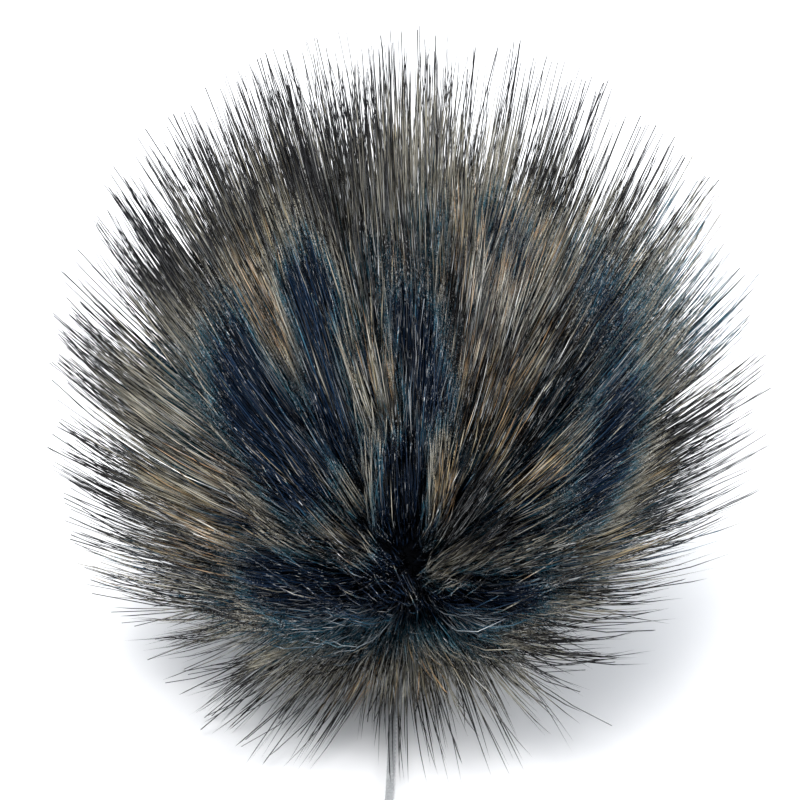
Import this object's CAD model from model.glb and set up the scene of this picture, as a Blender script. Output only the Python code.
import math

import bmesh
import bpy
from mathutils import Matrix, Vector


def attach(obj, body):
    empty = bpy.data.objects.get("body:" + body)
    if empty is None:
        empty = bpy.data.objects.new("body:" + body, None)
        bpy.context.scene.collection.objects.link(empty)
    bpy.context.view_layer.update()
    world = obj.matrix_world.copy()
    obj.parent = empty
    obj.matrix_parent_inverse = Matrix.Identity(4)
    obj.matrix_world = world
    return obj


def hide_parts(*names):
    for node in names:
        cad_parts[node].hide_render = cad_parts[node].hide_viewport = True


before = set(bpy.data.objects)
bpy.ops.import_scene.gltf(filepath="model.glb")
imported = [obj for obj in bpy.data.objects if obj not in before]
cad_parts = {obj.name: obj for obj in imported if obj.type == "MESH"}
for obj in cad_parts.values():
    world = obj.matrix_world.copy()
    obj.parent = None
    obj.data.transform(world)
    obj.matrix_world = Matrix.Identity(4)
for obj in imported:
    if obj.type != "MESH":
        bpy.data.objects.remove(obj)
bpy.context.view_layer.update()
scene = bpy.context.scene
print("frame loaded:", sorted(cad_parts))

# The ball under the pile, as the solids have it: metres, front at -Y.
skinRadius = 0.031
ballCentre = Vector((0, 0, 0.045))
napRise = math.radians(62)  # the pile is brushed up and back
napWay = Vector((0, math.cos(napRise), math.sin(napRise)))
napFront = Vector((0, -napWay.z, napWay.y))


# camera, first because the cord is measured against its view
camera = {
    "elevation": math.radians(28),
    "distance": 0.9,
    "pictureWidth": 0.166,  # how wide the picture is where the ball stands
    "aside": -0.0025,
    "above": 0.0146,  # the ball sits low in the picture
    "sensor": 36,
}


def makeCamera(s):
    data = bpy.data.cameras.new("view")
    data.sensor_width = s["sensor"]
    data.lens = s["sensor"] * s["distance"] / s["pictureWidth"]
    data.clip_end = 20
    eye = bpy.data.objects.new("view", data)
    scene.collection.objects.link(eye)
    back = Vector((0, -math.cos(s["elevation"]), math.sin(s["elevation"])))
    up = Vector((0, math.sin(s["elevation"]), math.cos(s["elevation"])))
    target = ballCentre + Vector((s["aside"], 0, 0)) + s["above"] * up
    eye.location = target + s["distance"] * back
    eye.rotation_euler = back.to_track_quat("Z", "Y").to_euler()
    scene.camera = eye


makeCamera(camera)
scene.view_settings.view_transform = "Standard"
scene.view_settings.look = "None"


class Desk:
    # Adds nodes to one tree and wires them; a value may be a socket or a plain number.
    def __init__(self, tree):
        self.tree = tree
        self.used = 0

    def add(self, kind, feeds=None, **settings):
        node = self.tree.nodes.new(kind)
        node.location = (190 * (self.used % 14), -240 * (self.used // 14))
        self.used += 1
        for name, value in settings.items():
            setattr(node, name, value)
        for key, value in (feeds or {}).items():
            self.feed(node.inputs[key], value)
        return node

    def feed(self, socket, value):
        if isinstance(value, bpy.types.NodeSocket):
            self.tree.links.new(value, socket)
        elif value is not None:
            socket.default_value = value

    def number(self, operation, *values):
        feeds = dict(enumerate(values))
        return self.add("ShaderNodeMath", feeds, operation=operation).outputs[0]

    def times(self, a, b):
        return self.number("MULTIPLY", a, b)

    def vector(self, operation, *values):
        feeds = dict(enumerate(values))
        node = self.add("ShaderNodeVectorMath", feeds, operation=operation)
        return node.outputs["Value" if operation == "DOT_PRODUCT" else "Vector"]

    def unit(self, vector):
        return self.vector("NORMALIZE", vector)

    def scaled(self, vector, scale):
        feeds = {0: vector, "Scale": scale}
        return self.add("ShaderNodeVectorMath", feeds, operation="SCALE").outputs["Vector"]

    def blend(self, share, a, b):
        feeds = {0: share, 4: a, 5: b}
        return self.add("ShaderNodeMix", feeds, data_type="VECTOR").outputs[1]

    def blendNumber(self, share, a, b):
        feeds = {0: share, 2: a, 3: b}
        return self.add("ShaderNodeMix", feeds, data_type="FLOAT").outputs[0]

    def blendColour(self, share, a, b, mode="MIX"):
        feeds = {0: share, 6: a, 7: b}
        settings = {"data_type": "RGBA", "blend_type": mode}
        return self.add("ShaderNodeMix", feeds, **settings).outputs[2]

    def ramp(self, value, fromLow, fromHigh, low=0.0, high=1.0):
        # a smooth step; fromLow may be the larger one
        feeds = {0: value, 1: fromLow, 2: fromHigh, 3: low, 4: high}
        node = self.add("ShaderNodeMapRange", feeds, interpolation_type="SMOOTHSTEP")
        return node.outputs[0]

    def split(self, vector):
        return self.add("ShaderNodeSeparateXYZ", {0: vector}).outputs

    def join(self, x=0.0, y=0.0, z=0.0):
        return self.add("ShaderNodeCombineXYZ", {0: x, 1: y, 2: z}).outputs[0]

    def colours(self, value, stops):
        node = self.add("ShaderNodeValToRGB", {0: value})
        band = node.color_ramp
        while len(band.elements) < len(stops):
            band.elements.new(1.0)
        for element, (at, colour) in zip(band.elements, stops):
            element.position = at
            element.color = (*colour, 1)
        return node.outputs[0]


def newMaterial(name):
    material = bpy.data.materials.new(name)
    material.use_nodes = True
    shader = material.node_tree.nodes["Principled BSDF"]
    return material, Desk(material.node_tree), shader


def place(obj, slot, *nodes):
    # Every piece rides on the one body, with its finish and the solids it stands for.
    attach(obj, "root")
    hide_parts(*nodes)


# tie cord and its knot
cord = {
    "thick": 0.0017,
    "plies": 3,
    "groove": 0.26,  # how deep the plies lie apart, as a share of the radius
    "twist": 0.0046,  # one full turn of the plies
    "ring": 0.00033,
    "sides": 18,
    "darkGrey": (0.24, 0.25, 0.26),
    "grey": (0.33, 0.34, 0.345),
    "lightGrey": (0.46, 0.47, 0.47),
    "roughness": 0.88,
    "sheen": 0.35,
}
cordRoute = (
    # the same points as the solid's route
    (0.0000, -0.00568, 0.01475),
    (0.0000, -0.00640, 0.01080),
    (-0.0003, -0.00800, 0.00620),
    (-0.0010, -0.01080, 0.00270),
    (-0.0021, -0.01480, 0.00120),
    (-0.0032, -0.02000, 0.00095),
    (-0.0039, -0.02700, 0.00095),
    (-0.0041, -0.03400, 0.00095),
    (-0.0043, -0.04200, 0.00095),
    (-0.0045, -0.05000, 0.00095),
    (-0.0048, -0.05800, 0.00095),
    (-0.0056, -0.06500, 0.00095),
    (-0.0078, -0.07050, 0.00095),
    (-0.0130, -0.07330, 0.00095),
    (-0.0195, -0.07320, 0.00095),
    (-0.0260, -0.07120, 0.00110),
    (-0.0320, -0.06960, 0.00150),
)
knot = {
    "size": 0.0040,
    "long": 1.15,
    "flat": 0.86,
    "gap": 0.0003,
    "floorGap": 0.0001,
    "strand": 0.00062,  # radius of the cord where it is pulled tight in the knot
    "depth": 0.62,  # how far the loops rise and fall, as a share of their radius
    "groove": 0.18,
    "twists": 3,
    "rings": 110,
    "sides": 12,
    "tailFibres": 46,
    "tailLength": 0.0062,
    "tailStart": 0.42,  # from the knot's middle, as a share of its size
    "tailRoot": 0.0005,  # radius of the frayed end where it begins
    "tailSpread": 0.0019,  # and at the fibres' tips
    "tailDrop": 0.0004,
    "tailGaps": (0.0003, 0.0002, 0.00012),  # least heights of root, knee and tip
    "fibre": 0.00007,
}


def smoothRoute(points, step, parts=24):
    # A smooth line through the points, cut into even steps, and its length.
    points = [Vector(p) for p in points]
    ends = [2 * points[0] - points[1]] + points + [2 * points[-1] - points[-2]]
    fine = []
    for before, a, b, after in zip(ends, ends[1:], ends[2:], ends[3:]):
        for i in range(parts):
            t = i / parts
            pull = (b - before) * t + (2 * before - 5 * a + 4 * b - after) * t**2
            fine.append(a + 0.5 * (pull + (3 * a - before - 3 * b + after) * t**3))
    fine.append(points[-1])
    total = sum((b - a).length for a, b in zip(fine, fine[1:]))
    count = round(total / step)
    spaced, run, due = [fine[0]], 0.0, total / count
    for a, b in zip(fine, fine[1:]):
        part = (b - a).length
        while run + part >= due - 1e-9 and len(spaced) < count:
            spaced.append(a.lerp(b, (due - run) / part))
            due += total / count
        run += part
    return spaced + [fine[-1]], total


def sweep(bm, path, outline, closed=False):
    # Carries an outline of (angle, radius) pairs along a path; outline(i) gives ring i.
    rings = []
    heading = (path[1] - path[0]).normalized()
    side = heading.orthogonal().normalized()
    for i, spot in enumerate(path):
        ahead = path[(i + 1) % len(path)] if closed else path[min(i + 1, len(path) - 1)]
        behind = path[i - 1] if closed or i else path[0]
        nextHeading = (ahead - behind).normalized()
        side = heading.rotation_difference(nextHeading) @ side
        side = (side - side.dot(nextHeading) * nextHeading).normalized()
        heading = nextHeading
        over = heading.cross(side)
        ring = []
        for angle, radius in outline(i):
            out = math.cos(angle) * side + math.sin(angle) * over
            ring.append(bm.verts.new(spot + radius * out))
        rings.append(ring)
    pairs = list(zip(rings, rings[1:]))
    if closed:
        pairs.append((rings[-1], rings[0]))
    for low, high in pairs:
        for j in range(len(low)):
            k = (j + 1) % len(low)
            bm.faces.new((low[j], low[k], high[k], high[j]))
    if not closed:
        bm.faces.new(list(reversed(rings[0])))
        bm.faces.new(rings[-1])


def meshObject(name, bm, material):
    bm.normal_update()
    mesh = bpy.data.meshes.new(name)
    bm.to_mesh(mesh)
    bm.free()
    for face in mesh.polygons:
        face.use_smooth = True
    mesh.materials.append(material)
    obj = bpy.data.objects.new(name, mesh)
    scene.collection.objects.link(obj)
    return obj


def yarnMaterial():
    # Soft grey yarn: fine fibres, slightly uneven dye and dust.
    material, desk, shader = newMaterial("greyYarn")
    spot = desk.add("ShaderNodeTexCoord").outputs["Object"]
    wide = desk.add("ShaderNodeTexNoise", {"Vector": spot, "Scale": 420, "Detail": 3})
    fine = desk.add("ShaderNodeTexNoise", {"Vector": spot, "Scale": 5200, "Detail": 4})
    tones = ((0.0, cord["darkGrey"]), (0.5, cord["grey"]), (1.0, cord["lightGrey"]))
    base = desk.colours(wide.outputs["Fac"], tones)
    fibre = desk.ramp(fine.outputs["Fac"], 0.3, 0.7, 0.72, 1.18)
    shade = desk.join(fibre, fibre, fibre)
    desk.feed(shader.inputs["Base Color"], desk.blendColour(1.0, base, shade, "MULTIPLY"))
    shader.inputs["Roughness"].default_value = cord["roughness"]
    shader.inputs["Sheen Weight"].default_value = cord["sheen"]
    shader.inputs["Sheen Roughness"].default_value = 0.5
    bump = desk.add("ShaderNodeBump", {"Height": fine.outputs["Fac"], "Strength": 0.5})
    bump.inputs["Distance"].default_value = 0.00008
    desk.feed(shader.inputs["Normal"], bump.outputs["Normal"])
    return material


def pliedOutline(sides, radius, groove, phase):
    # The outline of twisted plies, turned by a phase, as (angle, radius) pairs.
    pairs = []
    for j in range(sides):
        angle = math.tau * j / sides
        lobe = abs(math.cos(cord["plies"] * 0.5 * (angle - phase)))
        pairs.append((angle, radius * (1 - groove * (1 - lobe))))
    return pairs


def makeCord(material):
    path, length = smoothRoute(cordRoute, cord["ring"])
    turn = math.tau * length / (len(path) - 1) / cord["twist"]

    def outline(i):
        return pliedOutline(cord["sides"], cord["thick"] / 2, cord["groove"], i * turn)

    bm = bmesh.new()
    sweep(bm, path, outline)
    return meshObject("cord_yarn", bm, material), path, length


def knotPlace():
    last, before = Vector(cordRoute[-1]), Vector(cordRoute[-2])
    heading = (last - before).normalized()
    heading.z = 0
    heading.normalize()
    half = knot["long"] * knot["size"] / 2
    middle = last + heading * (knot["gap"] + half)
    middle.z = knot["flat"] * knot["size"] / 2 + knot["floorGap"]
    return middle, heading


def frayTail(bm, middle, heading, facing):
    # The loose end past the knot: fibres that fan out and sag to the surface.
    rootGap, kneeGap, tipGap = knot["tailGaps"]
    goldenTurn = math.pi * (3 - math.sqrt(5))
    triangle = [(math.tau * j / 3, knot["fibre"]) for j in range(3)]
    start = middle + heading * knot["size"] * knot["tailStart"]
    for i in range(knot["tailFibres"]):
        spin = i * goldenTurn
        spread = math.sqrt((i + 0.5) / knot["tailFibres"])
        off = facing @ Vector((0, math.cos(spin), math.sin(spin))) * spread
        reach = knot["tailLength"] * (0.7 + 0.3 * math.sin(i * 12.9))
        root = start + off * knot["tailRoot"]
        tip = start + heading * reach + off * knot["tailSpread"]
        root.z = max(root.z - knot["tailDrop"], rootGap)
        tip.z = max(0.25 * tip.z, tipGap)
        knee = root.lerp(tip, 0.55)
        knee.z = max(0.6 * root.z, kneeGap)
        sweep(bm, [root, knee, tip], lambda ring: triangle)


def makeKnot(material):
    # An overhand knot is a trefoil, here of the same twisted plies as the cord.
    middle, heading = knotPlace()
    facing = heading.to_track_quat("X", "Z").to_matrix()
    room = knot["size"] / 2 - knot["strand"]
    path = []
    for i in range(knot["rings"]):
        a = math.tau * i / knot["rings"]
        x = (math.sin(a) + 2 * math.sin(2 * a)) / 3 * room * knot["long"]
        y = (math.cos(a) - 2 * math.cos(2 * a)) / 3 * room
        z = -math.sin(3 * a) * room * knot["depth"]
        path.append(middle + facing @ Vector((x, y, z)))

    def outline(i):
        phase = math.tau * i / knot["rings"] * knot["twists"]
        return pliedOutline(knot["sides"], knot["strand"], knot["groove"], phase)

    bm = bmesh.new()
    sweep(bm, path, outline, closed=True)
    frayTail(bm, middle, heading, facing)
    bmesh.ops.recalc_face_normals(bm, faces=bm.faces)
    return meshObject("cord_knot", bm, material)


yarn = yarnMaterial()
cordPiece, cordPath, cordLength = makeCord(yarn)
knotPiece = makeKnot(yarn)
place(cordPiece, "cord", "tie_cord")
place(knotPiece, "cord", "tie_knot")
print("cord made:", round(cordLength * 1000, 1), "mm")


# gathered skin that the pile is rooted in
skin = {
    "detail": 6,
    "rootDepth": 0.0003,  # how far under the skin the hairs begin
    "closureTilt": math.radians(9),
    "closureWidth": math.radians(34),
    "pleats": 17,
    "pleatDepth": 0.0027,
    "backing": (0.010, 0.013, 0.020),
    "thread": (0.016, 0.020, 0.030),
    "knitScale": 900,
    "roughness": 0.9,
}


def skinPlace(theta, phi):
    # A root's direction: theta from the way of the nap, phi round it from the front.
    out = math.cos(phi) * napFront + math.sin(phi) * Vector((1, 0, 0))
    return math.cos(theta) * napWay + math.sin(theta) * out


def backingMaterial():
    # The dark knitted back of the fur, which shows only between parted hairs.
    material, desk, shader = newMaterial("furBacking")
    spot = desk.add("ShaderNodeTexCoord").outputs["Object"]
    knit = desk.add("ShaderNodeTexVoronoi", {"Vector": spot, "Scale": skin["knitScale"]})
    tones = ((0.0, skin["thread"]), (1.0, skin["backing"]))
    desk.feed(shader.inputs["Base Color"], desk.colours(knit.outputs["Distance"], tones))
    shader.inputs["Roughness"].default_value = skin["roughness"]
    bump = desk.add("ShaderNodeBump", {"Height": knit.outputs["Distance"]})
    bump.inputs["Distance"].default_value = 0.0002
    desk.feed(shader.inputs["Normal"], bump.outputs["Normal"])
    return material


def makeSkin():
    # A ball with a small pleated hollow where the fur is drawn shut.
    bm = bmesh.new()
    bmesh.ops.create_icosphere(bm, subdivisions=skin["detail"], radius=skinRadius)
    closure = Vector((0, math.sin(skin["closureTilt"]), -math.cos(skin["closureTilt"])))
    side = closure.orthogonal().normalized()
    over = closure.cross(side)
    for v in bm.verts:
        way = v.co.normalized()
        away = way.angle(closure) / skin["closureWidth"]
        if away < 1:
            turn = math.atan2(way.dot(over), way.dot(side))
            fold = 0.5 + 0.5 * math.cos(skin["pleats"] * turn)
            shut = (1 - away) * min(1, away * 5)
            v.co -= way * fold * shut * skin["pleatDepth"]
        v.co += ballCentre
    return meshObject("fur_skin", bm, backingMaterial())


place(makeSkin(), "fur", "fur_ball")
print("skin made")


# fur material: the map's V runs up the bands of a hair, U picks the lock's dye
fur = {
    # each band's colours along U: black, taupe, gold, rust, cream and pale locks
    "navy": ((0.00, (0.002, 0.002, 0.003)), (0.12, (0.003, 0.007, 0.016)),
             (0.30, (0.004, 0.012, 0.028)), (0.38, (0.006, 0.011, 0.020)),
             (0.46, (0.011, 0.011, 0.010)), (0.90, (0.016, 0.013, 0.010)),
             (0.94, (0.030, 0.060, 0.100)), (1.00, (0.42, 0.43, 0.45))),
    "teal": ((0.00, (0.002, 0.003, 0.004)), (0.12, (0.009, 0.032, 0.048)),
             (0.30, (0.015, 0.056, 0.075)), (0.38, (0.020, 0.046, 0.053)),
             (0.46, (0.056, 0.053, 0.044)), (0.68, (0.090, 0.060, 0.034)),
             (0.76, (0.14, 0.13, 0.11)), (0.88, (0.24, 0.23, 0.20)),
             (0.94, (0.16, 0.20, 0.23)), (1.00, (0.60, 0.62, 0.64))),
    "taupe": ((0.00, (0.004, 0.0035, 0.0035)), (0.10, (0.009, 0.008, 0.007)),
              (0.20, (0.086, 0.082, 0.068)), (0.35, (0.150, 0.139, 0.112)),
              (0.50, (0.168, 0.156, 0.120)), (0.60, (0.200, 0.165, 0.100)),
              (0.68, (0.205, 0.122, 0.060)), (0.76, (0.27, 0.25, 0.20)),
              (0.88, (0.42, 0.40, 0.35)), (1.00, (0.70, 0.70, 0.68))),
    "tip": ((0.0, (0.003, 0.003, 0.004)), (0.6, (0.005, 0.0045, 0.0045)),
            (0.92, (0.010, 0.008, 0.007)), (1.0, (0.45, 0.45, 0.44))),
    "deepRoot": (0.001, 0.0015, 0.003),
    # where along V each band begins and where it is whole
    "edges": {"navy": (0.02, 0.13), "teal": (0.20, 0.34), "taupe": (0.36, 0.46),
              "tip": (0.58, 0.72)},
    "rust": 0.65,  # the middle of the rust dyes, which shine least
    "glint": (0.62, 0.64, 0.65),
    "roughness": 0.20,
    "ior": 1.55,
    "specular": 0.10,
}


def furMaterial():
    material, desk, shader = newMaterial("pileHair")
    uv = desk.add("ShaderNodeUVMap", uv_map="OFBake").outputs[0]
    u, v, _ = desk.split(uv)

    def streaks(across, up, offset):
        # noise drawn out along the hairs
        spot = desk.join(desk.times(u, across), desk.times(v, up), offset)
        noise = desk.add("ShaderNodeTexNoise", {"Vector": spot, "Scale": 1.0, "Detail": 2})
        return noise.outputs["Fac"]

    grain = streaks(520.0, 2.4, 0.0)
    bandAt = desk.number("ADD", v, desk.ramp(grain, 0.25, 0.75, -0.05, 0.05))
    shade = (*fur["deepRoot"], 1)
    for band, edge in fur["edges"].items():
        shade = desk.blendColour(desk.ramp(bandAt, *edge), shade, desk.colours(u, fur[band]))
    light = desk.ramp(grain, 0.42, 0.62, 0.08, 3.6)
    light = desk.join(light, light, light)
    shade = desk.blendColour(1.0, shade, light, "MULTIPLY")

    # pale glints, but few near the root, at the black tip and in rust locks
    sheen = desk.ramp(grain, 0.55, 0.68, 0.0, 0.5)
    sheen = desk.times(sheen, desk.ramp(u, 0.40, 0.46))
    offRust = desk.number("ABSOLUTE", desk.number("SUBTRACT", u, fur["rust"]))
    sheen = desk.times(sheen, desk.ramp(offRust, 0.05, 0.09, 0.2, 1.0))
    glint = desk.ramp(streaks(760.0, 5.0, 5.0), 0.59, 0.66, 0.0, 0.9)
    glint = desk.number("MAXIMUM", glint, sheen)
    glint = desk.times(glint, desk.ramp(v, 0.12, 0.30))
    glint = desk.times(glint, desk.ramp(bandAt, 0.70, 0.56, 0.12, 1.0))
    speck = desk.ramp(streaks(900.0, 60.0, 9.0), 0.64, 0.69, 0.0, 1.0)
    speck = desk.times(speck, desk.ramp(v, 0.55, 0.4))
    glint = desk.number("MAXIMUM", glint, speck)
    shade = desk.blendColour(glint, shade, (*fur["glint"], 1))
    desk.feed(shader.inputs["Base Color"], shade)
    shader.inputs["Roughness"].default_value = fur["roughness"]
    shader.inputs["IOR"].default_value = fur["ior"]
    shader.inputs["Specular IOR Level"].default_value = fur["specular"]
    return material


hairMaterial = furMaterial()


# the pile, grown from the skin by one node tree; these and the layers' are its inputs
pile = {
    "Length": 0.055,
    "Crown gain": 0.165,
    "Swirl": 0.26,
    "Swirl scale": 42.0,
    "Droop": 0.002,
    "Settle height": 0.020,
    "Least reach": 0.0185,
    "Reach gain": 0.068,
    "Lock density": 11500.0,
    "Tuft density": 70000.0,
    "Tuft wander": 0.10,
    "Tuft seed": 7,
    "Aisle edge": 0.0078,  # how far aside the hairs begin to lift over the cord
    "Aisle middle": 0.00325,  # and within what they lie wholly above it
    "Cord room": 0.0028,
    "Patch ball": 0.060,
    "Patch leaks": 0.05,
    "Whorl": -0.0225,
    "Belly bands": 24.0,
}
# the layers of the pile, one piece each
guardHair = {"Segments": 5, "Nap lean": 0.8, "Bias": 1.0, "Cover share": 1.0, "Pale": 0.014,
             "Dark": 0.30, "Dye": 0.0, "Dye share": 0.0, "Band push": 0.0}
midHair = {**guardHair, "Segments": 3, "Cover share": 0.92, "Pale": 0.006, "Dark": 0.50}
underHair = {**guardHair, "Segments": 2, "Nap lean": 0.66, "Cover share": 0.0,
             "Pale": 0.005, "Dark": 0.20, "Dye": 0.24, "Dye share": 0.85, "Band push": 0.35}
layers = {
    "fur_guard_a": {**guardHair, "Density": 240000.0, "Width": 0.00027, "Shortest": 0.74,
                    "Longest": 1.27, "Bias": 1.5, "Wander": 0.17, "Clump": 0.50, "Seed": 11},
    "fur_guard_b": {**guardHair, "Density": 340000.0, "Width": 0.00025, "Shortest": 0.66,
                    "Longest": 1.10, "Bias": 1.1, "Wander": 0.09, "Clump": 0.72, "Seed": 12},
    "fur_mid_a": {**midHair, "Density": 780000.0, "Width": 0.00024, "Shortest": 0.50,
                  "Longest": 0.88, "Wander": 0.09, "Clump": 0.72, "Seed": 13},
    "fur_mid_b": {**midHair, "Density": 780000.0, "Width": 0.00023, "Shortest": 0.44,
                  "Longest": 0.74, "Wander": 0.11, "Clump": 0.62, "Seed": 14},
    "fur_under": {**underHair, "Density": 1500000.0, "Width": 0.00026, "Shortest": 0.30,
                  "Longest": 0.58, "Wander": 0.14, "Clump": 0.3, "Seed": 15},
}
# one tuft: how far it is drawn to its lock, and how much of the rest is its own
tuftOwn = {"pull": 0.45, "kneePull": 0.18, "tone": 0.6, "band": 0.6, "dark": 0.7, "slack": 0.4}
# one hair: what it takes from its tuft, what is its own, and its form
singleHair = {
    "kneeLean": 0.7,
    "crook": 0.0016,  # metres off its way at the knee
    "loose": (2.2, 0.5),  # how much further the loosest hairs stray than most, and these
    "looseRare": 7.0,
    "clump": (0.55, 1.25),
    "kneePull": 0.45,
    "leastLength": 0.85,
    "tuftLength": 0.24,
    "looseLength": 0.05,
    "tuftDark": 1.7,
    "tuftBand": 0.62,
    "ownBand": 0.35,
    "ownTone": 0.12,
    "thinnest": 0.65,
    "thickest": 1.2,
    "form": ((0.0, 0.55), (0.35, 1.0), (0.75, 0.86), (1.0, 0.34)),  # width up its length
}
# Hairs that would meet the surface lie out on it: heights in metres, the rest shares.
lying = {
    "stray": 0.010,
    "begins": 0.012,  # above the settle height
    "whole": 0.004,  # below it
    "lean": 0.5,
    "swirl": 1.3,
    "shortest": 0.97,
    "spread": 0.10,
    "floorGap": 0.0003,
    "layer": 0.0012,
    "bendRise": 0.002,
    "leastHeight": 0.00005,
    "cordAt": -0.0035,
}
# the fur map: U is the dye, V the way up a hair's bands
furMap = {
    "black": 0.07,
    "pale": 0.975,
    "least": 0.03,
    "most": 0.90,
    "across": 0.0012,  # U across one hair
    "tipAt": 0.88,  # V at the tip of a full-length hair
    "blueDye": (0.35, 0.09),  # dye in a blue place: share of the lock's, and start
    "inPatch": (0.14, 0.06),  # V in a navy patch, likewise
    "patchRim": 0.20,  # how much higher V is at its rim
}
# Above the whorl the near side's pile is thinner.
parting = {"from": 0.30, "to": 0.72, "lowest": math.radians(124), "fades": math.radians(142),
           "cover": 0.72, "reach": -0.04}
# Under the whorl the hairs turn black sooner, and the bands lie level across them.
belly = {
    "from": math.radians(140),
    "to": math.radians(152),
    "band": -0.4,
    "stray": 0.14,
    "aside": -0.006,  # metres, from here on
    "reaches": 0.032,
    "whole": 0.018,
    "fadeUp": 0.004,
    "fadeBack": 0.010,
}
# what the skin has between the strokes
plainLock = {"tone": 0.43, "band": 0.0, "cover": 1.0, "reach": 0.0, "patch": 0.0}
dyedLocks = (
    # theta, phi at one end and the other, width in degrees; tone, band, cover, reach,
    # None where they stay
    (80, -85, 80, -85, 34, None, None, None, 0.02),
    (35, -60, 35, -60, 26, None, None, 1.2, 0.03),
    (48, 68, 36, 130, 19, None, None, 0.14, 0.10),
    (96, 88, 96, 120, 12, None, None, 0.6, -0.02),
    (124, -80, 124, -80, 24, None, None, None, 0.09),
    (150, -96, 150, -96, 20, None, None, 0.75, 0.14),
    (140, 62, 150, 62, 16, None, None, 0.30, -0.16),
    (138, 92, 148, 130, 22, None, None, 0.12, -0.34),
    (112, 88, 120, 100, 12, None, None, 0.45, -0.08),
    # grey, beige, gold and rust locks of the front
    (58, -46, 84, -23, 5, 0.84, 0.00, 1.8, 0.00),
    (104, -44, 104, -44, 4, 0.93, 0.10, 1.1, 0.00),
    (62, 17, 94, 12, 5, 0.86, 0.05, 2.0, -0.12),
    (80, 26, 102, 19, 5, 0.84, 0.10, 1.5, -0.18),
    (64, 30, 86, 20, 6, 0.88, 0.00, 1.8, -0.14),
    (84, 19, 102, 14, 5, 0.58, 0.00, 1.7, 0.00),
    (72, 38, 96, 27, 4, 0.48, 0.00, 1.3, 0.00),
    (104, 31, 114, 27, 3, 0.60, 0.00, 1.0, 0.00),
    (106, 9, 116, 8, 4, 0.62, 0.00, 1.5, 0.00),
    (124, -62, 126, -46, 8, 0.80, -0.30, 1.0, 0.00),
    (104, -14, 122, -9, 4, 0.54, 0.10, 1.4, 0.00),
    (46, -20, 76, -11, 5, 0.48, -0.05, 1.2, 0.00),
    (82, -6, 86, -6, 4, 0.92, 0.20, 1.0, 0.00),
    (56, 22, 70, 18, 6, 0.90, 0.00, 1.2, 0.00),
    # black ones
    (40, 12, 92, 5, 3, 0.04, -0.20, 1.8, 0.00),
    (108, 0, 124, 0, 5, 0.05, 0.00, 0.8, 0.00),
    (134, 14, 132, 36, 9, 0.14, 0.30, 0.9, 0.00),
    (30, -14, 50, -14, 9, 0.12, -0.20, 1.2, 0.02),
    (44, -50, 54, -50, 5, 0.16, -0.20, 1.2, 0.00),
    (54, -56, 70, -50, 7, 0.06, -0.30, 1.4, 0.03),
    (34, -26, 40, -26, 10, 0.06, -0.30, 2.0, 0.02),
    (66, -87, 66, -87, 8, 0.08, -0.30, 1.7, 0.03),
    (98, 39, 112, 37, 5, 0.10, -0.20, 0.9, 0.00),
    (92, 80, 92, 80, 6, 0.10, -0.30, 1.4, 0.03),
    (22, -40, 22, -40, 5, 0.06, -0.35, 1.5, 0.04),
    (38, 40, 44, 44, 5, 0.06, -0.40, 1.5, 0.06),
    (56, 78, 60, 70, 5, 0.05, -0.45, 1.9, 0.02),
    (80, 80, 84, 76, 6, 0.06, -0.35, 1.3, 0.02),
    (102, 66, 106, 62, 7, 0.10, -0.30, 1.3, 0.03),
    (92, -82, 92, -82, 6, 0.07, -0.30, 1.3, 0.04),
    (110, -70, 110, -70, 5, 0.07, -0.30, 1.3, 0.04),
    # taupe and gold at the sides, then locks just above and under the whorl
    (36, 33, 36, 33, 8, 0.50, -0.05, 1.1, 0.00),
    (116, -66, 116, -66, 14, 0.52, -0.05, 1.1, 0.00),
    (102, -60, 102, -60, 10, 0.42, 0.00, 1.1, 0.00),
    (112, 54, 112, 54, 12, 0.50, 0.00, 1.2, 0.00),
    (110, 8, 129, 7, 4, 0.66, -0.60, 2.4, 0.00),
    (150, -2, 166, -2, 10, 0.67, None, 1.2, 0.00),
    (168, 32, 168, 32, 7, 0.12, 0.40, 1.3, -0.10),
    (166, 60, 166, 60, 8, None, None, 0.15, 0.00),
    (156, 34, 156, 34, 7, 0.30, -0.30, 1.0, 0.28),
    (158, 14, 158, 8, 6, None, None, 0.4, 0.00),
    (152, -22, 152, -26, 7, None, None, 0.5, 0.10),
    (156, -38, 156, -38, 9, 0.30, -0.20, 0.45, 0.22),
    # tufts and gaps along the rim
    (26, 24, 26, 24, 5, None, None, 0.5, -0.10),
    (22, -14, 22, -14, 5, None, None, 0.5, -0.08),
    (14, 50, 14, 120, 5, None, None, 0.5, -0.12),
    (56, -72, 56, -112, 5, None, None, 0.8, -0.14),
    (68, -78, 68, -104, 6, None, None, 1.2, 0.08),
    (79, -75, 79, -110, 4, None, None, 0.9, -0.12),
    (89, -80, 89, -100, 6, None, None, 1.2, 0.07),
    (84, -75, 84, -75, 8, None, None, 0.6, -0.05),
    (100, -72, 100, -72, 7, None, None, 1.2, 0.12),
    (122, -81, 122, -81, 7, None, None, 1.2, 0.12),
    (20, 3, 20, 3, 7, None, -0.10, 1.1, 0.05),
    (26, 57, 26, 57, 7, None, -0.05, 1.1, 0.06),
    (120, 63, 120, 63, 6, None, None, 0.7, -0.08),
    (132, 60, 132, 60, 6, None, None, 1.1, 0.02),
)
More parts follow.
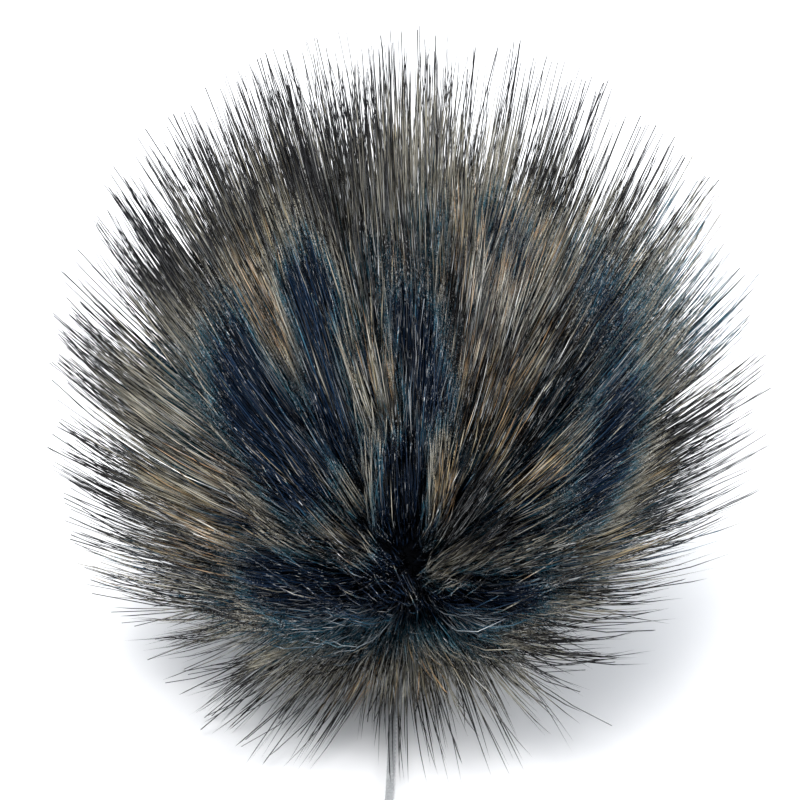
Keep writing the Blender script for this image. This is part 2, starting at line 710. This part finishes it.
patches = (
    # theta, phi at one end and the other, width in degrees; how navy
    (43, -34, 57, -22, 6, 1.0),
    (59, -46, 70, -40, 6, 1.0),
    (76, -34, 92, -22, 8, 1.0),
    (66, -20, 84, -14, 5, 0.8),
    (54, -2, 76, 4, 6, 0.9),
    (31, 35, 44, 30, 6, 0.9),
    (44, 60, 62, 50, 7, 1.0),
    (74, 50, 88, 42, 6, 0.9),
    (110, -33, 115, -9, 7, 1.0),
    (115, -9, 120, 8, 5, 0.9),
    (118, 10, 114, 24, 6, 0.9),
    (35, 7, 36, 7, 5, 0.6),
    (126, -24, 126, -18, 4, 0.5),
    (86, -2, 108, -3, 5, 1.0),
    (78, 43, 96, 36, 6, 1.0),
    # round the back
    (45, 100, 66, 96, 8, 0.9),
    (60, 132, 88, 138, 7, 0.9),
    (42, 165, 70, 172, 8, 0.9),
    (80, -168, 100, -160, 8, 0.8),
    (50, -142, 76, -136, 7, 0.9),
    (64, -106, 86, -100, 8, 0.9),
    (104, 96, 112, 140, 8, 0.8),
    (108, -96, 114, -140, 8, 0.8),
)


def capture(desk, geometry, items):
    # Keeps values worked out on the points for the mesh that is made from them.
    node = desk.add("GeometryNodeCaptureAttribute", {0: geometry})
    for name, (kind, value) in items.items():
        node.capture_items.new(kind, name)
        desk.feed(node.inputs[name], value)
    return node.outputs[0], {name: node.outputs[name] for name in items}


def randomNumber(desk, seed, offset, low=0.0, high=1.0):
    seed = desk.number("ADD", seed, offset)
    feeds = {2: low, 3: high, "Seed": seed}
    return desk.add("FunctionNodeRandomValue", feeds, data_type="FLOAT").outputs[1]


def randomVector(desk, seed, offset):
    seed = desk.number("ADD", seed, offset)
    feeds = {0: (-1, -1, -1), 1: (1, 1, 1), "Seed": seed}
    return desk.add("FunctionNodeRandomValue", feeds, data_type="FLOAT_VECTOR").outputs[0]


def freeWay(desk, ask, root, normal, swirl):
    # The lean, knee and tip of a full-length hair that stands free in the air.
    nap = tuple(napWay)

    def leaning(amount):
        leant = desk.vector("ADD", normal, desk.scaled(nap, scale=amount))
        return desk.unit(leant)

    lean = leaning(ask["Nap lean"])
    kneeLean = leaning(desk.times(ask["Nap lean"], singleHair["kneeLean"]))
    along = desk.unit(desk.vector("ADD", lean, swirl))
    kneeAlong = desk.unit(desk.vector("ADD", kneeLean, swirl))
    crown = desk.times(desk.vector("DOT_PRODUCT", normal, nap), ask["Crown gain"])
    length = desk.times(ask["Length"], desk.number("ADD", crown, 1.0))
    tip = desk.vector("ADD", root, desk.scaled(along, scale=length))
    tip = desk.vector("SUBTRACT", tip, desk.join(z=ask["Droop"]))
    half = desk.times(length, 0.5)
    knee = desk.vector("ADD", root, desk.scaled(kneeAlong, scale=half))
    return lean, knee, tip


def laidWay(desk, ask, root, lean, swirl, slack):
    # How settled a hair is, and its bend and tip where it is laid out on the surface.
    straight = desk.vector("ADD", root, desk.scaled(lean, scale=ask["Length"]))
    height = desk.number("MULTIPLY_ADD", slack, lying["stray"], desk.split(straight)[2])
    settled = desk.ramp(height, desk.number("ADD", ask["Settle height"], lying["begins"]),
                        desk.number("SUBTRACT", ask["Settle height"], lying["whole"]))
    outwards = desk.unit(desk.vector("MULTIPLY", root, (1, 1, 0)))
    leanLevel = desk.vector("MULTIPLY", lean, (lying["lean"], lying["lean"], 0))
    outwards = desk.vector("ADD", outwards, leanLevel)
    sideways = desk.vector("MULTIPLY", swirl, (lying["swirl"], lying["swirl"], 0))
    outwards = desk.unit(desk.vector("ADD", outwards, sideways))

    # the lower roots end nearer
    rootHeight = desk.split(root)[2]
    rise = desk.number("SUBTRACT", rootHeight, ballCentre.z - skinRadius)
    rise = desk.number("DIVIDE", rise, skinRadius)
    reach = desk.number("MULTIPLY_ADD", rise, ask["Reach gain"], ask["Least reach"])
    spread = desk.number("MULTIPLY_ADD", slack, lying["spread"], lying["shortest"])
    reach = desk.times(reach, spread)
    laid = desk.vector("ADD", root, desk.scaled(outwards, scale=reach))
    laidX, laidY, _ = desk.split(laid)

    # in front they lie over the cord
    offCord = desk.number("ABSOLUTE", desk.number("SUBTRACT", laidX, lying["cordAt"]))
    overCord = desk.ramp(offCord, ask["Aisle edge"], ask["Aisle middle"])
    overCord = desk.times(overCord, desk.number("LESS_THAN", laidY, 0.0))
    lift = desk.number("MULTIPLY_ADD", slack, lying["layer"], lying["floorGap"])
    lift = desk.number("MULTIPLY_ADD", overCord, ask["Cord room"], lift)
    laid = desk.join(laidX, laidY, lift)
    bendX, bendY, _ = desk.split(desk.blend(0.5, root, laid))
    bendHeight = desk.number("MULTIPLY_ADD", rootHeight, 0.5, lying["bendRise"])
    return settled, desk.join(bendX, bendY, bendHeight), laid


def pileWay(desk, ask, root, normal, wander, slack):
    # Knee and tip of a full-length hair: free in the air, or laid out on the surface.
    turned = desk.scaled(root, scale=ask["Swirl scale"])
    noise = desk.add("ShaderNodeTexNoise", {"Vector": turned, "Scale": 1.0, "Detail": 1})
    swirl = desk.vector("SUBTRACT", noise.outputs["Color"], (0.5, 0.5, 0.5))
    swirl = desk.scaled(swirl, scale=ask["Swirl"])
    swirl = desk.vector("ADD", swirl, wander)
    lean, knee, tip = freeWay(desk, ask, root, normal, swirl)
    settled, bend, laid = laidWay(desk, ask, root, lean, swirl, slack)
    return desk.blend(settled, knee, bend), desk.blend(settled, tip, laid)


def sampled(desk, points, values, kinds, spot):
    # The values of the nearest of some points.
    nearest = desk.add("GeometryNodeSampleNearest", {0: points, 1: spot}).outputs[0]
    found = {}
    for name, value in values.items():
        feeds = {0: points, 1: value, 2: nearest}
        kind = "FLOAT_VECTOR" if kinds[name] == "VECTOR" else "FLOAT"
        found[name] = desk.add("GeometryNodeSampleIndex", feeds, data_type=kind).outputs[0]
    return found


def bunch(desk, ask, spot, label, offset, above=None):
    # Points that the hairs round them lean towards, themselves drawn to larger ones.
    seed = desk.number("ADD", ask["Tuft seed"], offset)
    points = desk.add("GeometryNodeDistributePointsOnFaces", {
        "Mesh": ask["Skin"], "Density": ask[label], "Seed": seed})
    stray = desk.scaled(randomVector(desk, seed, 1), scale=ask["Tuft wander"])
    slack = randomNumber(desk, seed, 2)
    knee, tip = pileWay(desk, ask, spot, points.outputs["Normal"], stray, slack)
    values = {"knee": knee, "tip": tip, "slack": slack}
    looks = ("tone", "band", "dark")
    for draw, name in enumerate(looks, start=3):
        values[name] = desk.number("SUBTRACT", randomNumber(desk, seed, draw), 0.5)
    if above:
        values["tip"] = desk.blend(tuftOwn["pull"], tip, above["tip"])
        values["knee"] = desk.blend(tuftOwn["kneePull"], knee, above["knee"])
        values["slack"] = desk.blendNumber(tuftOwn["slack"], slack, above["slack"])
        for name in looks:
            values[name] = desk.number("MULTIPLY_ADD", values[name], tuftOwn[name], above[name])
    kinds = {name: "VECTOR" if name in ("knee", "tip") else "FLOAT" for name in values}
    kept, held = capture(desk, points.outputs["Points"],
                         {name: (kinds[name], values[name]) for name in kinds})
    return sampled(desk, kept, held, kinds, spot)


def painted(desk, name):
    # What the strokes have left on the skin under a name.
    node = desk.add("GeometryNodeInputNamedAttribute", {0: name}, data_type="FLOAT")
    return node.outputs[0]


def plantHairs(desk, ask, spot, tuft):
    # One cone for each hair, which keeps the hair's way, length, dye and width.
    cover = desk.blendNumber(ask["Cover share"], 1.0, painted(desk, "cover"))
    hairs = desk.add("GeometryNodeDistributePointsOnFaces", {
        "Mesh": ask["Skin"], "Density": desk.times(ask["Density"], cover),
        "Seed": ask["Seed"]})
    seed = ask["Seed"]
    normal = hairs.outputs["Normal"]
    loose = desk.number("POWER", randomNumber(desk, seed, 21), singleHair["looseRare"])
    loose = desk.number("MULTIPLY_ADD", loose, *singleHair["loose"])
    wander = desk.scaled(randomVector(desk, seed, 22), scale=ask["Wander"])
    wander = desk.scaled(wander, scale=loose)
    slack = randomNumber(desk, seed, 23)
    knee, tip = pileWay(desk, ask, spot, normal, wander, slack)
    clump = randomNumber(desk, seed, 24, *singleHair["clump"])
    clump = desk.times(ask["Clump"], clump)
    tip = desk.blend(clump, tip, tuft["tip"])
    kneeClump = desk.times(clump, singleHair["kneePull"])
    knee = desk.blend(kneeClump, knee, tuft["knee"])
    crook = desk.scaled(randomVector(desk, seed, 25), scale=singleHair["crook"])
    knee = desk.vector("ADD", knee, crook)
    roll = desk.vector("CROSS_PRODUCT", desk.vector("SUBTRACT", tip, spot),
                       randomVector(desk, seed, 26))
    share = desk.number("POWER", randomNumber(desk, seed, 27), ask["Bias"])
    share = desk.blendNumber(share, ask["Longest"], ask["Shortest"])
    tuftShare = desk.number("MULTIPLY_ADD", tuft["slack"], singleHair["tuftLength"],
                            singleHair["leastLength"])
    tuftShare = desk.number("MULTIPLY_ADD", loose, singleHair["looseLength"], tuftShare)
    share = desk.times(share, tuftShare)
    share = desk.times(share, desk.number("ADD", painted(desk, "reach"), 1.0))

    # dye: light locks keep their own and have fewer black hairs
    lockTone = painted(desk, "tone")
    stray = desk.ramp(lockTone, 0.50, 0.70, 0.24, 0.09)
    tone = desk.number("MULTIPLY_ADD", tuft["tone"], stray, lockTone)
    tone = desk.blendNumber(ask["Dye share"], tone, ask["Dye"])
    own = desk.number("SUBTRACT", randomNumber(desk, seed, 28), 0.5)
    tone = desk.number("MULTIPLY_ADD", own, singleHair["ownTone"], tone)
    tone = desk.number("MAXIMUM", tone, furMap["least"])
    tone = desk.number("MINIMUM", tone, furMap["most"])
    dark = desk.number("MULTIPLY_ADD", tuft["dark"], singleHair["tuftDark"], ask["Dark"])
    dark = desk.times(dark, desk.ramp(lockTone, 0.56, 0.80, 1.0, 0.3))
    dark = desk.number("LESS_THAN", randomNumber(desk, seed, 32), dark)
    tone = desk.blendNumber(dark, tone, furMap["black"])
    pale = desk.number("LESS_THAN", randomNumber(desk, seed, 29), ask["Pale"])
    tone = desk.blendNumber(pale, tone, furMap["pale"])

    # bands: how far up the hair they are pushed
    band = painted(desk, "band")
    band = desk.number("MULTIPLY_ADD", tuft["band"], singleHair["tuftBand"], band)
    own = desk.number("SUBTRACT", randomNumber(desk, seed, 30), 0.5)
    band = desk.number("MULTIPLY_ADD", own, singleHair["ownBand"], band)
    warp = desk.number("EXPONENT", desk.number("ADD", band, ask["Band push"]))
    thickness = randomNumber(desk, seed, 31, singleHair["thinnest"], singleHair["thickest"])
    width = desk.times(ask["Width"], thickness)
    points, hair = capture(desk, hairs.outputs["Points"], {
        "root": ("VECTOR", spot),
        "knee": ("VECTOR", knee),
        "tip": ("VECTOR", tip),
        "roll": ("VECTOR", desk.unit(roll)),
        "share": ("FLOAT", share),
        "tone": ("FLOAT", tone),
        "warp": ("FLOAT", warp),
        "width": ("FLOAT", width),
        "own": ("FLOAT", randomNumber(desk, seed, 33)),
    })
    cone = desk.add("GeometryNodeMeshCone", {
        "Vertices": 3, "Side Segments": ask["Segments"], "Radius Top": 0.0,
        "Radius Bottom": 1.0, "Depth": 1.0}, fill_type="NGON")
    planted = desk.add("GeometryNodeInstanceOnPoints", {"Points": points,
                                                        "Instance": cone.outputs["Mesh"]})
    grown = desk.add("GeometryNodeRealizeInstances", {0: planted.outputs[0]}).outputs[0]
    return grown, hair


def bendHairs(desk, grown, spot, hair):
    # Bends each cone along its own hair's way; also how far along and across it a spot is.
    inCone = desk.vector("SUBTRACT", spot, hair["root"])
    t = desk.split(inCone)[2]
    flat = desk.unit(desk.vector("MULTIPLY", inCone, (1, 1, 0)))
    flatX, flatY, _ = desk.split(flat)
    grown, kept = capture(desk, grown, {
        "t": ("FLOAT", t), "x": ("FLOAT", flatX), "y": ("FLOAT", flatY)})
    t, flatX, flatY = kept["t"], kept["x"], kept["y"]
    run = desk.times(t, hair["share"])
    first = desk.blend(run, hair["root"], hair["knee"])
    second = desk.blend(run, hair["knee"], hair["tip"])
    centre = desk.blend(run, first, second)
    heading = desk.unit(desk.vector("SUBTRACT", second, first))
    over = desk.vector("CROSS_PRODUCT", heading, hair["roll"])
    body = desk.add("ShaderNodeFloatCurve", {1: t})
    curve = body.mapping.curves[0]
    atRoot, *between, atTip = singleHair["form"]
    curve.points[0].location = atRoot
    curve.points[1].location = atTip
    for along, wide in between:
        curve.points.new(along, wide)
    body.mapping.update()
    radius = desk.times(body.outputs[0], hair["width"])
    radius = desk.times(radius, 0.5)
    off = desk.vector("ADD", desk.scaled(hair["roll"], scale=flatX),
                      desk.scaled(over, scale=flatY))
    off = desk.scaled(off, scale=radius)
    final = desk.vector("ADD", centre, off)
    final = desk.vector("MAXIMUM", final, (-1, -1, lying["leastHeight"]))
    grown = desk.add("GeometryNodeSetPosition", {"Geometry": grown, "Position": final})
    across = desk.number("MULTIPLY_ADD", flatY, 0.4, flatX)
    return grown.outputs[0], run, across


def navyPatches(desk, ask, hair, run, aside, rise, ahead):
    # Navy patches lie on the front and back of the pile, wherever its hairs are rooted:
    # how deep in one a spot is, and how much of it the hair takes.
    spread = desk.number("MULTIPLY_ADD", aside, aside, desk.times(rise, rise))
    depth = desk.times(ask["Patch ball"], ask["Patch ball"])
    depth = desk.number("SUBTRACT", depth, spread)
    depth = desk.number("SQRT", desk.number("MAXIMUM", depth, 1e-6))
    depth = desk.times(depth, desk.number("SIGN", ahead))
    onBall = desk.vector("ADD", desk.scaled(tuple(napWay), scale=rise),
                         desk.scaled(tuple(napFront), scale=depth))
    onBall = desk.unit(desk.vector("ADD", onBall, desk.join(aside)))
    onBall = desk.scaled(onBall, scale=skinRadius)
    core = desk.add("GeometryNodeSampleNearestSurface", {
        "Mesh": ask["Skin"], "Value": painted(desk, "patch"),
        "Sample Position": desk.vector("ADD", onBall, tuple(ballCentre))},
        data_type="FLOAT").outputs[0]
    obeys = desk.number("GREATER_THAN", hair["own"], ask["Patch leaks"])
    patch = desk.times(desk.ramp(core, 0.22, 0.50), obeys)
    return core, desk.times(patch, desk.ramp(run, 1.16, 1.04))


def bellyBands(desk, ask, hair, aside, rise, ahead):
    # How much a spot is in the belly, and where it is on the level bands there.
    low = desk.number("SUBTRACT", ask["Whorl"], rise)
    level = desk.times(low, ask["Belly bands"])
    level = desk.number("MULTIPLY_ADD", hair["own"], belly["stray"], level)
    off = desk.number("ABSOLUTE", desk.number("SUBTRACT", aside, belly["aside"]))
    inBelly = desk.ramp(off, belly["reaches"], belly["whole"])
    inBelly = desk.times(inBelly, desk.ramp(low, 0.0, belly["fadeUp"]))
    inBelly = desk.times(inBelly, desk.ramp(ahead, 0.0, belly["fadeBack"]))
    return inBelly, level


def storeMap(desk, ask, grown, hair, spot, run, across):
    # Stores the fur map, with the navy patches and the belly's bands laid into it.
    outside = desk.vector("SUBTRACT", spot, tuple(ballCentre))
    aside = desk.split(outside)[0]
    rise = desk.vector("DOT_PRODUCT", outside, tuple(napWay))
    ahead = desk.vector("DOT_PRODUCT", outside, tuple(napFront))
    core, patch = navyPatches(desk, ask, hair, run, aside, rise, ahead)
    inBelly, level = bellyBands(desk, ask, hair, aside, rise, ahead)
    blueing = desk.times(inBelly, desk.ramp(level, 0.40, 0.30))
    tone = desk.number("MULTIPLY_ADD", hair["tone"], *furMap["blueDye"])
    tone = desk.blendNumber(desk.number("MAXIMUM", patch, blueing), hair["tone"], tone)
    uPlace = desk.number("MULTIPLY_ADD", across, furMap["across"], tone)
    upHair = desk.number("POWER", desk.times(run, furMap["tipAt"]), hair["warp"])
    inPatch = desk.number("MULTIPLY_ADD", upHair, *furMap["inPatch"])
    rim = desk.ramp(core, 0.90, 0.20, 0.0, furMap["patchRim"])
    upHair = desk.blendNumber(patch, upHair, desk.number("ADD", inPatch, rim))
    upHair = desk.blendNumber(inBelly, upHair, level)
    vPlace = desk.number("MULTIPLY_ADD", upHair, 0.98, 0.01)
    return desk.add("GeometryNodeStoreNamedAttribute", {
        "Geometry": grown, "Name": "OFBake", "Value": desk.join(uPlace, vPlace)},
        data_type="FLOAT2", domain="CORNER").outputs[0]


def furTree(material):
    tree = bpy.data.node_groups.new("growPile", "GeometryNodeTree")
    face = tree.interface
    face.new_socket("Skin", in_out="INPUT", socket_type="NodeSocketGeometry")
    ids = {}
    for name, value in {**pile, **layers["fur_under"]}.items():
        kind = "NodeSocketInt" if isinstance(value, int) else "NodeSocketFloat"
        ids[name] = face.new_socket(name, in_out="INPUT", socket_type=kind).identifier
    face.new_socket("Pile", in_out="OUTPUT", socket_type="NodeSocketGeometry")
    desk = Desk(tree)
    ask = desk.add("NodeGroupInput").outputs
    spot = desk.add("GeometryNodeInputPosition").outputs[0]
    lock = bunch(desk, ask, spot, "Lock density", 100)
    tuft = bunch(desk, ask, spot, "Tuft density", 0, lock)
    grown, hair = plantHairs(desk, ask, spot, tuft)
    grown, run, across = bendHairs(desk, grown, spot, hair)
    grown = storeMap(desk, ask, grown, hair, spot, run, across)
    grown = desk.add("GeometryNodeSetShadeSmooth", {"Geometry": grown}).outputs[0]
    grown = desk.add("GeometryNodeRealizeInstances", {0: grown}).outputs[0]
    grown = desk.add("GeometryNodeSetMaterial", {
        "Geometry": grown, "Material": material}).outputs[0]
    desk.feed(desk.add("NodeGroupOutput").inputs[0], grown)
    return tree, ids


def smoothStep(value, low, high):
    x = min(1.0, max(0.0, (value - low) / (high - low)))
    return x * x * (3 - 2 * x)


def awayFrom(way, a, b):
    # how far a direction is from the stroke between two others, as an angle
    along = b - a
    if along.length < 1e-6:
        return (way - a).length
    t = min(1.0, max(0.0, (way - a).dot(along) / along.length_squared))
    return (way - a - along * t).length


def paintStrokes():
    # Every stroke as its two ends, its width and what it paints, in the order it's laid.
    rows = []
    for *ends, wide, tone, band, cover, reach in dyedLocks:
        rows.append((ends, wide, (tone, band, cover, reach, None)))
    for *ends, wide, patch in patches:
        rows.append((ends, wide, (None, None, None, None, patch)))
    strokes = []
    for ends, wide, aims in rows:
        thetaA, phiA, thetaB, phiB = (math.radians(x) for x in ends)
        a, b = skinPlace(thetaA, phiA), skinPlace(thetaB, phiB)
        strokes.append((a, b, math.radians(wide), dict(zip(plainLock, aims))))
    return strokes


def paintSkin(obj):
    # Writes the strokes on the skin, from which every hair reads its own values.
    mesh = obj.data
    for name in plainLock:
        mesh.attributes.new(name, "FLOAT", "POINT")
    paints = {name: mesh.attributes[name] for name in plainLock}
    strokes = paintStrokes()
    for i, v in enumerate(mesh.vertices):
        way = (v.co - ballCentre).normalized()
        fromNap = way.angle(napWay)
        near = smoothStep(way.dot(napFront), parting["from"], parting["to"])
        near *= 1 - smoothStep(fromNap, parting["lowest"], parting["fades"])
        now = dict(plainLock)
        now["band"] += belly["band"] * smoothStep(fromNap, belly["from"], belly["to"])
        for name in ("cover", "reach"):
            now[name] += (parting[name] - now[name]) * near
        for a, b, wide, aims in strokes:
            near = math.exp(-(awayFrom(way, a, b) / wide) ** 2)
            for name, aim in aims.items():
                if aim is not None:
                    now[name] += (aim - now[name]) * near
        for name, paint in paints.items():
            paint.data[i].value = now[name]


def growLayer(name, settings, tree, ids, skinMesh):
    carrier = bpy.data.objects.new(name + "_carrier", skinMesh)
    scene.collection.objects.link(carrier)
    modifier = carrier.modifiers.new("pile", "NODES")
    modifier.node_group = tree
    for label, value in {**pile, **settings}.items():
        modifier[ids[label]] = value
    grown = carrier.evaluated_get(bpy.context.evaluated_depsgraph_get())
    mesh = bpy.data.meshes.new_from_object(grown)
    carrier.modifiers.remove(modifier)
    bpy.data.objects.remove(carrier, do_unlink=True)
    mesh.name = name
    obj = bpy.data.objects.new(name, mesh)
    scene.collection.objects.link(obj)
    mesh.calc_loop_triangles()
    print(name, "has", len(mesh.loop_triangles), "triangles")
    place(obj, "fur", "fur_ball")


def growPile():
    bm = bmesh.new()
    bedRadius = skinRadius - skin["rootDepth"]
    bmesh.ops.create_icosphere(bm, subdivisions=skin["detail"], radius=bedRadius)
    bmesh.ops.translate(bm, verts=bm.verts, vec=ballCentre)
    ground = meshObject("rootBed", bm, hairMaterial)
    paintSkin(ground)
    tree, ids = furTree(hairMaterial)
    for name, settings in layers.items():
        growLayer(name, settings, tree, ids, ground.data)
    bpy.data.objects.remove(ground, do_unlink=True)


growPile()
print("pile grown")


# floor and light
studio = {
    "sky": (0.90, 0.94, 1.0),
    "skyPower": 1.15,
    "floorSize": 6.0,
    "floorTone": (0.90, 0.90, 0.905),
    "floorRoughness": 0.8,
}
lamps = {
    # name: where it shines from, how wide it looks in degrees, strength, colour
    "left": ((-0.16, -0.36, 0.92), 24, 2.0, (1.0, 0.985, 0.97)),
    "right": ((0.86, -0.06, 0.52), 20, 0.9, (1.0, 0.99, 0.98)),
    "low": ((-0.80, -0.30, 0.48), 20, 0.5, (1.0, 0.99, 0.98)),
    "back": ((0.02, 0.30, 0.95), 26, 0.5, (1.0, 0.985, 0.96)),
}


def makeStudio():
    bm = bmesh.new()
    bmesh.ops.create_grid(bm, x_segments=1, y_segments=1, size=studio["floorSize"] / 2)
    material, _, shader = newMaterial("paleFloor")
    shader.inputs["Base Color"].default_value = (*studio["floorTone"], 1)
    shader.inputs["Roughness"].default_value = studio["floorRoughness"]
    meshObject("floor", bm, material)
    world = bpy.data.worlds.new("studio")
    scene.world = world
    world.use_nodes = True
    sky = world.node_tree.nodes["Background"]
    sky.inputs["Color"].default_value = (*studio["sky"], 1)
    sky.inputs["Strength"].default_value = studio["skyPower"]
    for name, (spot, wide, strength, colour) in lamps.items():
        data = bpy.data.lights.new(name, "SUN")
        data.angle = math.radians(wide)
        data.energy = strength
        data.color = colour
        lamp = bpy.data.objects.new(name, data)
        lamp.location = spot
        lamp.rotation_euler = Vector(spot).to_track_quat("Z", "Y").to_euler()
        scene.collection.objects.link(lamp)


makeStudio()


print("studio ready")
